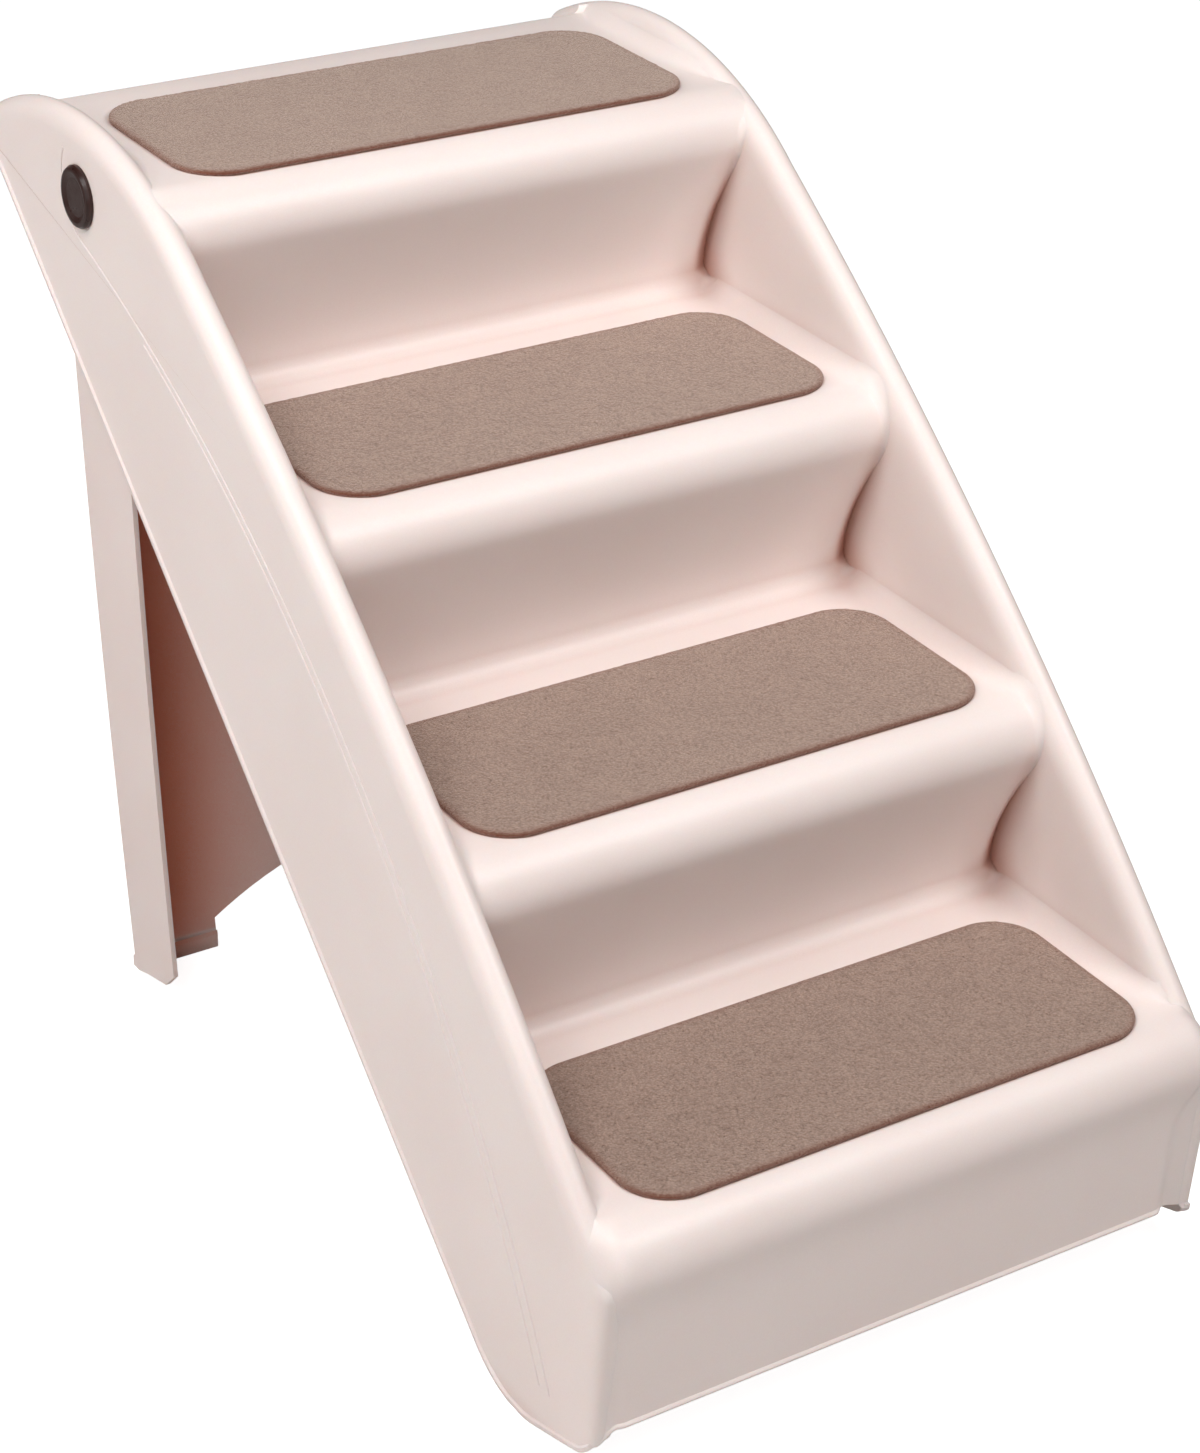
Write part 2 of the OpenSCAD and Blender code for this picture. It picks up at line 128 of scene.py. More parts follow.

# %% [markdown]
# The mouldings are injection-moulded polypropylene with a fine satin grain, cut into the mould by spark
# erosion. The eye sees a soft sheen that never turns glossy and a faint speckle. Deep corners get a painted
# shade: the base colour turns darker and redder where walls close around, standing in for light that
# bounces between pink walls and turns redder each time. Inside the leg the painted shade is strongest: there
# the plastic is painted red-brown, so the leg's painted shade reaches across its whole hollow and counts only
# its own walls, and leaves out small steps such as the feet's lips.

# %% Polypropylene moulding
def moulded_polypropylene(name, colour, shade, depth, reach=28, dark=0.15, clear=0.7, alone=False):
    """Satin moulded plastic; the grain is 0.8 mm wide and drawn a little coarser than the real 0.3 mm.

    The colour depth is a painted shade. It fills places that walls within reach enclose: fully at the open
    share dark, and not at all at clear. A piece that is alone counts only its own walls, and a second, short
    reach keeps its painted shade off small lips.
    """
    material, tree, surface = new_material(name, Roughness=0.42, IOR=1.49)
    place = add_node(tree, "ShaderNodeTexCoord", (-1100, 0)).outputs["Object"]
    grain = add_node(tree, "ShaderNodeTexNoise", (-800, -250),
                     {"Vector": place, "Scale": 1 / (0.8 * mm), "Detail": 3.0, "Roughness": 0.6})
    cloud = add_node(tree, "ShaderNodeTexNoise", (-800, 150),
                     {"Vector": place, "Scale": 1 / (90 * mm), "Detail": 2.0})
    speckle = add_node(tree, "ShaderNodeMapRange", (-600, -50),
                       {"Value": grain.outputs["Fac"], "From Min": 0.3, "From Max": 0.7,
                        "To Min": 0.0, "To Max": 0.35})
    patch = add_node(tree, "ShaderNodeMapRange", (-600, 150),
                     {"Value": cloud.outputs["Fac"], "From Min": 0.35, "From Max": 0.65,
                      "To Min": 0.0, "To Max": 0.3})
    both = add_node(tree, "ShaderNodeMath", (-400, 50),
                    {0: speckle.outputs["Result"], 1: patch.outputs["Result"]}, operation="ADD")
    tint = add_node(tree, "ShaderNodeMix", (-200, 100),
                    {"Factor": both.outputs["Value"], "A": linear(colour), "B": linear(shade)},
                    data_type="RGBA")
    rough = add_node(tree, "ShaderNodeMapRange", (-400, -200),
                     {"Value": grain.outputs["Fac"], "From Min": 0.3, "From Max": 0.7,
                      "To Min": 0.38, "To Max": 0.5})
    bump = add_node(tree, "ShaderNodeBump", (-200, -350),
                    {"Height": grain.outputs["Fac"], "Strength": 0.25, "Distance": 0.08 * mm})
    # Painted shade: ambient occlusion finds how closely walls enclose each place, and the map below turns
    # that into the share of the darker, redder depth colour.
    hollow = add_node(tree, "ShaderNodeAmbientOcclusion", (-400, 400), {"Distance": reach * mm},
                      samples=8, only_local=alone)
    painted_corner_shade = add_node(tree, "ShaderNodeMapRange", (-200, 400),
                      {"Value": hollow.outputs["AO"], "From Min": dark, "From Max": clear,
                       "To Min": 1.0, "To Max": 0.0})
    share = painted_corner_shade.outputs["Result"]
    # A piece that is alone keeps its painted shade off small lips, which a second, short ambient occlusion
    # finds.
    if alone:
        lip = add_node(tree, "ShaderNodeAmbientOcclusion", (-400, 650), {"Distance": 15 * mm},
                       samples=8, only_local=True)
        off_lip = add_node(tree, "ShaderNodeMapRange", (-200, 650),
                           {"Value": lip.outputs["AO"], "From Min": 0.75, "From Max": 0.97})
        share = add_node(tree, "ShaderNodeMath", (0, 500),
                         {0: share, 1: off_lip.outputs["Result"]}, operation="MULTIPLY").outputs["Value"]
    # The painted shade itself: the base colour is mixed towards the depth colour by that share.
    deep = add_node(tree, "ShaderNodeMix", (200, 250),
                    {"Factor": share, "A": tint.outputs["Result"], "B": linear(depth)},
                    data_type="RGBA")
    tree.links.new(deep.outputs["Result"], surface.inputs["Base Color"])
    tree.links.new(rough.outputs["Result"], surface.inputs["Roughness"])
    tree.links.new(bump.outputs["Normal"], surface.inputs["Normal"])
    surface.inputs["Subsurface Weight"].default_value = 0.2
    surface.inputs["Subsurface Radius"].default_value = (1.0, 0.4, 0.25)
    surface.inputs["Subsurface Scale"].default_value = 6 * mm
    return material


# The last colour of each is its painted shade colour: a darker, redder brown in the shell's corners; nearly
# the plain colour on the hem and raised lines, so they carry almost no painted shade; and a strong red-brown
# painted shade across the leg's hollow.
shell_plastic = moulded_polypropylene("moulded_polypropylene_blush", "#f2e3de", "#ead8d2", "#c08a76")
edge_plastic = moulded_polypropylene("moulded_polypropylene_blush_edge", "#f1e1dd", "#e9d7d2", "#e2cdc8")
leg_plastic = moulded_polypropylene("moulded_polypropylene_blush_leg", "#f0dfda", "#e6d2cb", "#e08969",
                                    reach=500, dark=0.81, clear=0.98, alone=True)
print("made", shell_plastic.name, "and", edge_plastic.name, "and", leg_plastic.name)

# %% [markdown]
# The pads are short-pile carpet in taupe, cut with a knife and glued down. Its tufts stand 2 to 3 mm high
# and lie in small drifts, so it is speckled from near and cloudy from far, with a soft sheen at the edge of
# each form. The cut edge shows the darker, redder root of the pile: a map named rim, which the pads'
# builder fills, tells the material how far each place is from the edge.

# %% Carpet
def tufted_carpet(name, tip, root, edge):
    """Short cut pile: tufts 1.6 mm apart over drifts some 14 mm wide."""
    material, tree, surface = new_material(name, Roughness=0.95, IOR=1.5)
    surface.inputs["Specular IOR Level"].default_value = 0.15
    surface.inputs["Sheen Weight"].default_value = 0.9
    surface.inputs["Sheen Roughness"].default_value = 0.4
    surface.inputs["Sheen Tint"].default_value = linear("#f0ded2")
    place = add_node(tree, "ShaderNodeTexCoord", (-1200, 0)).outputs["Object"]
    tufts = add_node(tree, "ShaderNodeTexVoronoi", (-900, -200), {"Vector": place, "Scale": 1 / (1.6 * mm)})
    fibres = add_node(tree, "ShaderNodeTexNoise", (-900, 50),
                      {"Vector": place, "Scale": 1 / (0.9 * mm), "Detail": 4.0, "Roughness": 0.75})
    drift = add_node(tree, "ShaderNodeTexNoise", (-900, 300),
                     {"Vector": place, "Scale": 1 / (14 * mm), "Detail": 3.0, "Roughness": 0.6})
    depth = add_node(tree, "ShaderNodeMapRange", (-700, -200),
                     {"Value": tufts.outputs["Distance"], "From Min": 0.0, "From Max": 0.9,
                      "To Min": 0.0, "To Max": 0.6})
    fray = add_node(tree, "ShaderNodeMapRange", (-700, 50),
                    {"Value": fibres.outputs["Fac"], "From Min": 0.38, "From Max": 0.62,
                     "To Min": -0.1, "To Max": 0.5})
    lay = add_node(tree, "ShaderNodeMapRange", (-700, 300),
                   {"Value": drift.outputs["Fac"], "From Min": 0.3, "From Max": 0.7,
                    "To Min": -0.02, "To Max": 0.1})
    some = add_node(tree, "ShaderNodeMath", (-500, 0),
                    {0: depth.outputs["Result"], 1: fray.outputs["Result"]}, operation="ADD")
    total = add_node(tree, "ShaderNodeMath", (-350, 100),
                     {0: some.outputs["Value"], 1: lay.outputs["Result"]}, operation="ADD", use_clamp=True)
    pile = add_node(tree, "ShaderNodeMix", (-150, 150),
                    {"Factor": total.outputs["Value"], "A": linear(tip), "B": linear(root)},
                    data_type="RGBA")
    up = add_node(tree, "ShaderNodeNewGeometry", (-700, 550)).outputs["Normal"]
    split = add_node(tree, "ShaderNodeSeparateXYZ", (-500, 550), {"Vector": up})
    cut = add_node(tree, "ShaderNodeMapRange", (-300, 550),
                   {"Value": split.outputs["Z"], "From Min": 0.75, "From Max": 0.2,
                    "To Min": 0.0, "To Max": 1.0})
    rim = add_node(tree, "ShaderNodeUVMap", (-700, 800), uv_map="rim").outputs["UV"]
    inward = add_node(tree, "ShaderNodeSeparateXYZ", (-500, 800), {"Vector": rim}).outputs["X"]
    worn = add_node(tree, "ShaderNodeMapRange", (-300, 800),
                    {"Value": inward, "From Min": 1.0 / PAD_R, "From Max": 4.5 / PAD_R,
                     "To Min": 0.55, "To Max": 0.0})
    root_shows = add_node(tree, "ShaderNodeMath", (-100, 650),
                          {0: cut.outputs["Result"], 1: worn.outputs["Result"]}, operation="MAXIMUM")
    tint = add_node(tree, "ShaderNodeMix", (50, 250),
                    {"Factor": root_shows.outputs["Value"], "A": pile.outputs["Result"], "B": linear(edge)},
                    data_type="RGBA")
    bump = add_node(tree, "ShaderNodeBump", (-150, -300),
                    {"Height": some.outputs["Value"], "Strength": 0.8, "Distance": 0.7 * mm}, invert=True)
    tree.links.new(tint.outputs["Result"], surface.inputs["Base Color"])
    tree.links.new(bump.outputs["Normal"], surface.inputs["Normal"])
    return material


PAD_W, PAD_D, PAD_T, PAD_R = 320, 127, 3, 28
carpet = tufted_carpet("tufted_carpet_taupe", "#be9f8e", "#6f5347", "#7d4836")
print("made", carpet.name)

# %% [markdown]
# The pins are turned from dark brown nylon and their caps are polished, with faint turning rings in the
# dish, so each cap shows a small bright reflection.

# %% Nylon pins
def turned_nylon(name, colour, ring):
    """Dark glossy nylon with turning rings 1.5 mm apart around the hinge's axis."""
    material, tree, surface = new_material(name, IOR=1.53, Specular_IOR_Level=0.35)
    place = add_node(tree, "ShaderNodeTexCoord", (-1100, 0)).outputs["Object"]
    centred = add_node(tree, "ShaderNodeMapping", (-900, 0),
                       {"Vector": place, "Location": (0, -HINGE[0] * mm, -HINGE[1] * mm)})
    flat = add_node(tree, "ShaderNodeVectorMath", (-700, 0),
                    {0: centred.outputs["Vector"], 1: (0, 1, 1)}, operation="MULTIPLY")
    rings = add_node(tree, "ShaderNodeTexWave", (-500, 0),
                     {"Vector": flat.outputs["Vector"], "Scale": 0.314 / (1.5 * mm), "Distortion": 0.0},
                     wave_type="RINGS", rings_direction="X")
    worn = add_node(tree, "ShaderNodeTexNoise", (-500, -300),
                    {"Vector": place, "Scale": 1 / (6 * mm), "Detail": 4.0})
    rough = add_node(tree, "ShaderNodeMapRange", (-250, -200),
                     {"Value": worn.outputs["Fac"], "From Min": 0.3, "From Max": 0.7,
                      "To Min": 0.26, "To Max": 0.4})
    tint = add_node(tree, "ShaderNodeMix", (-250, 100),
                    {"Factor": rings.outputs["Fac"], "A": linear(colour), "B": linear(ring)},
                    data_type="RGBA")
    bump = add_node(tree, "ShaderNodeBump", (-250, -450),
                    {"Height": rings.outputs["Fac"], "Strength": 0.3, "Distance": 0.05 * mm})
    tree.links.new(tint.outputs["Result"], surface.inputs["Base Color"])
    tree.links.new(rough.outputs["Result"], surface.inputs["Roughness"])
    tree.links.new(bump.outputs["Normal"], surface.inputs["Normal"])
    return material


nylon = turned_nylon("turned_nylon_dark_brown", "#2c1814", "#351d18")
print("made", nylon.name)

# %% [markdown]
# The leg, the pins and the retainers are the frame's own nodes, and only get better materials. The shell's
# node is replaced further on, and its material is set for whoever shows the plain frame.

# %% Materials on the frame's nodes
finish_of = {"stair_shell": shell_plastic, "support_leg": leg_plastic,
             "hinge_pin_left": nylon, "hinge_pin_right": nylon,
             "pin_retainer_left": nylon, "pin_retainer_right": nylon}
for node_name, material in finish_of.items():
    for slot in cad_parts[node_name].material_slots:
        slot.link = "OBJECT"
        slot.material = material
print("finished", len(finish_of), "nodes")

# %% [markdown]
# A carpet pad is a flat rounded rectangle, but its pile isn't flat: each tuft stands a little differently
# and the rim rolls over. A fine grid is bent into the rounded outline, its rim is drawn down to the tread,
# and every vertex of the top is lifted by a fixed noise.

# %% Carpet pads
PILE_STEP = 1.25
PAD_FROM_NOSE = 20
CUT_INSET = 0.9


def round_corner(x, y):
    """Moves a point of the full rectangle into the one with round corners."""
    straight_x, straight_y = PAD_W / 2 - PAD_R, PAD_D / 2 - PAD_R
    u, v = abs(x) - straight_x, abs(y) - straight_y
    if u <= 0 or v <= 0:
        return x, y
    shrink = max(u, v) / math.hypot(u, v)
    return math.copysign(straight_x + u * shrink, x), math.copysign(straight_y + v * shrink, y)


def inside_rim(place, middle):
    """How far a place lies inside the pad's outline, at most the corner's radius."""
    u = max(abs(place.x - middle.x) - (PAD_W / 2 - PAD_R), 0)
    v = max(abs(place.y - middle.y) - (PAD_D / 2 - PAD_R), 0)
    return max(PAD_R - math.hypot(u, v), 0)


def carpet_pad(step):
    """The pad on one tread, step 0 the lowest."""
    bm = bmesh.new()
    cells = [round(size / PILE_STEP) for size in (PAD_W, PAD_D)]
    bmesh.ops.create_grid(bm, x_segments=cells[0], y_segments=cells[1], size=0.5)
    middle = Vector((0, FRONT + step * RUN + PAD_FROM_NOSE + PAD_D / 2, FIRST + step * RISE))
    rim = [e for e in bm.edges if e.is_boundary]
    for v in bm.verts:
        x, y = round_corner(v.co.x * PAD_W, v.co.y * PAD_D)
        v.co = Vector((x * (1 - 2 * CUT_INSET / PAD_W), y * (1 - 2 * CUT_INSET / PAD_D), PAD_T)) + middle
    top = list(bm.verts)
    for out, down in ((0.6, 0.5), (0.3, 1.2), (-0.3, PAD_T)):
        made = bmesh.ops.extrude_edge_only(bm, edges=rim)["geom"]
        rim = [e for e in made if isinstance(e, bmesh.types.BMEdge)]
        for v in (g for g in made if isinstance(g, bmesh.types.BMVert)):
            away = Vector((v.co.x, v.co.y, 0)) - Vector((middle.x, middle.y, 0))
            corner = Vector((max(abs(away.x) - (PAD_W / 2 - PAD_R), 0) * (1 if away.x > 0 else -1),
                             max(abs(away.y) - (PAD_D / 2 - PAD_R), 0) * (1 if away.y > 0 else -1), 0))
            v.co += corner.normalized() * out
            v.co.z = middle.z + PAD_T - down if down < PAD_T else middle.z
    bmesh.ops.contextual_create(bm, geom=rim)
    for v in top:
        tuft = noise.noise(v.co / 1.7) * 0.35 + noise.noise(v.co / 5.0 + Vector((7, 3, 1))) * 0.2
        lean = [noise.noise(v.co / 2.1 + Vector(shift)) * 0.25 for shift in ((40, 0, 0), (0, 40, 0))]
        v.co += Vector((*lean, tuft - 0.15))
    rim_layer = bm.loops.layers.uv.new("rim")
    for loop in (loop for face in bm.faces for loop in face.loops):
        loop[rim_layer].uv = (inside_rim(loop.vert.co, middle) / PAD_R, 0)
    bmesh.ops.scale(bm, vec=(mm, mm, mm), verts=bm.verts)
    bmesh.ops.recalc_face_normals(bm, faces=bm.faces)
    mesh = bpy.data.meshes.new(f"carpet_pad_{step + 1}")
    bm.to_mesh(mesh)
    bm.free()
    mesh.shade_smooth()
    piece = bpy.data.objects.new(mesh.name, mesh)
    bpy.context.collection.objects.link(piece)
    mesh.materials.append(carpet)
    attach(piece, "stairs")
    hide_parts(f"tread_pad_{step + 1}")
    print(piece.name, len(mesh.polygons), "faces")


for step in range(4):
    carpet_pad(step)

# %% [markdown]
# The moulding is a sheet of plastic 3 mm thick, so it is modelled as one: first a line in the side view,
# then rows of that line across the width, then the thickness. A pen draws the line. It moves forward with
# extrusions and bends by spinning its last vertex about the centre of the bend, so every arc is exact and
# tangent to what comes before it.

# %% A pen for lines in the side view
class Pen:
    """Draws a chain of vertices in the side view with forward moves and tangent bends."""

    def __init__(self, bm, y, z, heading):
        self.bm, self.heading = bm, heading
        self.chain = [bm.verts.new((0, y, z))]

    def ahead(self, quarter=0):
        angle = math.radians(self.heading + quarter)
        return Vector((0, math.cos(angle), math.sin(angle)))

    def forward(self, length, steps=1):
        for _ in range(steps):
            made = bmesh.ops.extrude_vert_indiv(self.bm, verts=[self.chain[-1]])["verts"]
            bmesh.ops.translate(self.bm, verts=made, vec=self.ahead() * length / steps)
            self.chain += made
        return self

    def bend(self, radius, turn, steps):
        centre = self.chain[-1].co + self.ahead(90 if turn > 0 else -90) * radius
        for _ in range(steps):
            made = bmesh.ops.spin(self.bm, geom=[self.chain[-1]], cent=centre, axis=(1, 0, 0),
                                  angle=math.radians(turn / steps), steps=1)["geom_last"]
            self.chain += [g for g in made if isinstance(g, bmesh.types.BMVert)]
        self.heading += turn
        return self


def points_and_normals(chain, side=1):
    """Each place of a chain and its unit normal in the side view; side 1 is to the left of the way."""
    places = [v.co.copy() for v in chain]
    normals = []
    for i in range(len(places)):
        along = places[min(i + 1, len(places) - 1)] - places[max(i - 1, 0)]
        normals.append(Vector((0, -along.z, along.y)).normalized() * side)
    return places, normals


def next_row(bm, row, places):
    """Extrudes a chain of vertices into a strip of faces and puts the new row's vertices in their places."""
    edges = [bm.edges.get(pair) for pair in zip(row, row[1:])]
    made = bmesh.ops.extrude_edge_only(bm, edges=edges)["geom"]
    new = {v for v in made if isinstance(v, bmesh.types.BMVert)}
    out = []
    for v, place in zip(row, places):
        mate = next(e.other_vert(v) for e in v.link_edges if e.other_vert(v) in new)
        mate.co = place
        out.append(mate)
    return out


def make_piece(bm, name, material, replaced, sharp=35):
    """Turns a bmesh in millimetres into a finished object in metres that rides on the stairs."""
    bmesh.ops.scale(bm, vec=(mm, mm, mm), verts=bm.verts)
    mesh = bpy.data.meshes.new(name)
    bm.to_mesh(mesh)
    bm.free()
    mesh.shade_smooth()
    mesh.set_sharp_from_angle(angle=math.radians(sharp))
    for face in mesh.polygons:
        face.use_smooth = len(face.vertices) <= 4
    mesh.materials.append(material)
    piece = bpy.data.objects.new(name, mesh)
    bpy.context.collection.objects.link(piece)
    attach(piece, "stairs")
    for node_name in replaced:
        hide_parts(node_name)
    low, high = [tuple(round(f(v.co[i] for v in mesh.vertices), 4) for i in range(3)) for f in (min, max)]
    print(name, len(mesh.polygons), "faces from", low, "to", high)


SPIKE = 1.8


def face_up_and_thicken(bm, probe, thickness):
    """Turns the faces so that the farthest one along probe looks that way, and gives the sheet its thickness.

    Where faces meet at a very sharp angle the thickness makes a spike, which is pulled back to the sheet.
    """
    bmesh.ops.remove_doubles(bm, verts=bm.verts, dist=0.001)
    bmesh.ops.recalc_face_normals(bm, faces=bm.faces)
    bm.normal_update()
    top = max(bm.faces, key=lambda f: f.calc_center_median().dot(probe))
    if top.normal.dot(probe) < 0:
        bmesh.ops.reverse_faces(bm, faces=bm.faces)
        bm.normal_update()
    sheet = KDTree(len(bm.verts))
    for k, v in enumerate(bm.verts):
        sheet.insert(v.co, k)
    sheet.balance()
    bmesh.ops.solidify(bm, geom=bm.faces, thickness=thickness)
    for v in bm.verts:
        source, _, distance = sheet.find(v.co)
        if distance > SPIKE * thickness:
            v.co = source + (v.co - source) * thickness / distance


print("sheets are", WALL, "mm thick")

# %% [markdown]
# The stepped line starts at the front panel's lower edge, with a small bead for the hem. Each nosing is a
# roll of 25 mm radius that overhangs its riser, the riser is a very wide hollow curve, and a cove of 10 mm
# leads the tread before it up into the riser. The riser's radius follows from the height that is left for
# it, so the steps land exactly on their levels. The other two lines are the rails' crest and the side
# panels' free edge.

# %% Lines in the side view
COVE_TURN, NOSE_TURN = 100, 114
COVE_COS, NOSE_COS = (math.cos(math.radians(turn)) for turn in (COVE_TURN, NOSE_TURN))
COVE_SIN, NOSE_SIN = (math.sin(math.radians(turn)) for turn in (COVE_TURN, NOSE_TURN))
RISER_R = (RISE - COVE_R * (1 - COVE_COS) - NOSE_R * (1 - NOSE_COS)) / (COVE_COS - NOSE_COS)
RISER_RUN = COVE_R * COVE_SIN + NOSE_R * NOSE_SIN + RISER_R * (NOSE_SIN - COVE_SIN)
HEM = (0.7, 1.3, 1.5, 1.5, 1.0)
HEM_TALL = 3.2
PANEL_EDGE, PANEL_TALL, PANEL_BEND_R = (-334.23, 34.8), 54.05, 120
POST_TALL, BROW_R = 96.33, 14
TOE, BACK_EDGE, REAR_WALL = 54.2, 734, 57
PANEL_FROM = -315


def step_line(bm):
    """The line over the steps, from the front panel's lower edge to the foot of the rear wall."""
    pen = Pen(bm, *PANEL_EDGE, 91.5)
    pen.forward(HEM_TALL, 5).forward(PANEL_TALL, 7).bend(PANEL_BEND_R, 12.5, 5).bend(NOSE_R, -104, 14)
    for step in range(3):
        pen.forward(RUN - RISER_RUN, 24 if step == 0 else 14)
        pen.bend(COVE_R, COVE_TURN, 10).bend(RISER_R, NOSE_TURN - COVE_TURN, 8).bend(NOSE_R, -NOSE_TURN, 16)
    pen.forward(TREAD_END - REAR_R - (FRONT + 3 * RUN + NOSE_R), 12)
    pen.bend(REAR_R, -90, 5).forward(REAR_WALL, 5)
    return pen.chain


def crest_line(bm):
    """The rails' crest: up the post, over the brow, up the long bow, over the hump and round the rear."""
    pen = Pen(bm, *POST_FOOT, 93.6)
    pen.forward(POST_TALL, 10).bend(BROW_R, -46.4, 8).bend(BOW_R, -12.81, 56)
    pen.heading = 38
    pen.bend(HUMP_R, -65.7, 30).bend(CORNER_R, -111.5, 12)
    return pen.chain


def panel_line(bm):
    """The side panels' free edge: from the corner post along the toe, round the heel and up the back edge."""
    pen = Pen(bm, *POST_FOOT, -17.7)
    pen.forward(TOE, 6).bend(HEEL_R, 10.9, 3)
    pen.heading = 0
    pen.forward(HEEL_FLAT, 1)
    pen.heading = 6.6
    pen.bend(HEEL_R, 34.2, 8).forward(BACK_EDGE, 8)
    return pen.chain


bm = bmesh.new()
for draw in (step_line, crest_line, panel_line):
    chain = draw(bm)
    start, end = ([round(c, 1) for c in v.co[1:]] for v in (chain[0], chain[-1]))
    print(draw.__name__, len(chain), "vertices, from", start, "to", end)
STEPS, STEPS_UP = points_and_normals(step_line(bm))
CREST, CREST_IN = points_and_normals(crest_line(bm), side=-1)
EDGE, EDGE_IN = points_and_normals(panel_line(bm))
bm.free()
for i, out in enumerate(HEM):
    STEPS[i] += STEPS_UP[i] * out
print("riser radius", round(RISER_R, 1), "mm; the hem is the first", len(HEM), "vertices of the stepped line")

# %% [markdown]
# A rail's crest is a roll: a quarter of a superellipse on each side, that fades out round the rear corner. On
# the bow it is deeper towards the trough, and on the corner post towards the outside. At the post's foot its
# front is cut away up to the front panel's lower edge.

# %% The rails' roll
CORNER_FROM, CORNER_OVER = len(CREST) - 13, 9
FOOT_TO = 75
POST_DEPTHS, BOW_DEPTHS = (14, 9), (11, 14)
POST_POWER, BOW_POWER = 2.3, 2.0


def smooth(x, low, high):
    """0 up to low, 1 from high on, and a soft slope between."""
    t = min(max((x - low) / (high - low), 0), 1)
    return t * t * (3 - 2 * t)


def roll_place(i, angle):
    """A place on the roll over the crest's vertex i: angle 0 is the outer side and 180 the trough's."""
    above_post = smooth(CREST[i].y, -332, -300)
    post_depth, bow_depth = (depths[0 if angle < 90 else 1] for depths in (POST_DEPTHS, BOW_DEPTHS))
    depth = post_depth + (bow_depth - post_depth) * above_post
    power = POST_POWER + (BOW_POWER - POST_POWER) * above_post
    fade = 1 - 0.85 * smooth(i, CORNER_FROM, CORNER_FROM + CORNER_OVER)
    c, s = math.cos(math.radians(angle)), max(math.sin(math.radians(angle)), 0)
    x = HALF_W - RAIL_W / 2 + RAIL_W / 2 * math.copysign(abs(c) ** (2 / power), c)
    down = depth * fade * (1 - s ** (2 / power))
    place = CREST[i] + CREST_IN[i] * down
    if place.z < FOOT_TO:
        base = (CREST[0] + CREST_IN[0] * down).z
        foot = CREST[0].z - 0.32 * down + 9 * smooth(angle, 10, 95) + 8 * smooth(angle, 92, 125)
        cut = foot + (place.z - base) * (FOOT_TO - foot) / (FOOT_TO - base)
        place = Vector((0, place.y - 0.063 * (cut - place.z), cut))
    return Vector((x, place.y, place.z))


ON_BOW = 40
for angle in (0, 90, 180):
    print("roll on the bow at", angle, "degrees:", tuple(round(c, 1) for c in roll_place(ON_BOW, angle)))

# %% [markdown]
# Between the rails the stepped line is simply repeated across. Near a rail each vertex turns out of the
# surface in a soft corner that ends on the rail, along the rail's own surface: low on the wall over the
# treads, in a narrow groove beside each riser, on the roll's inner side at the nosings, and over the roll
# at the first nosing and the front panel, which stand before the corner post and end in a shallow valley
# beside the panel. In the photograph the left post has its valley close to the outer edge and the right one
# further in.

# %% The steps' skin
def soft_corners(nosing=5, first_nosing=13, riser=3, tread=9.5, spread=2):
    """The soft corner's size at each vertex of the steps: tight on the risers, wide on the treads."""
    sizes = []
    for place, up in zip(STEPS, STEPS_UP):
        size = tread if up.z > 0.75 else riser if up.z < 0.1 else nosing
        sizes.append(first_nosing if place.y < FRONT + 32 else size)
    near = lambda i: sizes[max(i - spread, 0):i + spread + 1]
    return [sum(near(i)) / len(near(i)) for i in range(len(sizes))]


SOFT = soft_corners()
ROLLS = {angle: [roll_place(i, angle) for i in range(len(CREST))] for angle in range(15, 181)}
SKIN_X = TROUGH_X + 0.2
NO_ROLL = -99
PANEL_STEP = {1: (162, 171, 108), -1: (178, 199, 52)}
PANEL_FOOT = {1: 171, -1: 182}
ON_FRONT_PANEL, ON_FIRST_NOSING, LAST_NOSING_Y = 12, 20, 150
FLAT_ROWS = (30, 60, 90, 120, 145)
CORNER_ROWS = 15


def lift_to_roll(i, angle):
    """How far the roll's line at an angle lies above vertex i along the vertex's normal, or None."""
    place, up = STEPS[i], STEPS_UP[i]
    along = Vector((0, up.z, -up.y))
    sides = [(p - place).dot(along) for p in ROLLS[angle]]
    found = []
    for a, b, p, q in zip(sides, sides[1:], ROLLS[angle], ROLLS[angle][1:]):
        if a * b <= 0 and a != b:
            found.append((p + (q - p) * (a / (a - b)) - place).dot(up))
    found = [f for f in found if f > -45]
    return min(found, key=abs) if found else None


def skin_end(i, side):
    """The end of vertex i's row: its place (out, up) and its direction there."""
    behind = smooth(STEPS_UP[i].y, 0.05, 0.6)
    if behind > 0:
        return (SKIN_X, max(SOFT[i] * (1 - behind), 0.3)), (0, 1)
    height = lift_to_roll(i, 90)
    if height is None or height > 60:
        return (SKIN_X, SOFT[i]), (0, 1)
    if height > 0:
        want = min(SOFT[i], 0.8 * height + 0.3)
        if (lift_to_roll(i, 180) or NO_ROLL) >= want:
            return (SKIN_X, want), (0, 1)
        angle = min(range(90, 181), key=lambda a: abs((lift_to_roll(i, a) or NO_ROLL) - want))
    else:
        over = 25 + 65 * smooth(height, -5, 0)
        of_panel = PANEL_STEP[side][2]
        angle = round(of_panel + (over - of_panel) * on_nosing(i))
    lift = lift_to_roll(i, angle)
    step_angle = angle - 5 if angle > 20 else angle + 5
    x, ahead_x = roll_place(ON_BOW, angle).x, roll_place(ON_BOW, step_angle).x
    ahead_lift = lift_to_roll(i, step_angle)
    if lift is None or ahead_lift is None:
        return (SKIN_X, SOFT[i]), (0, 1)
    run, climb = ahead_x - x, ahead_lift - lift
    size = math.hypot(run, climb)
    return (x, lift - 0.25), (run / size, climb / size)


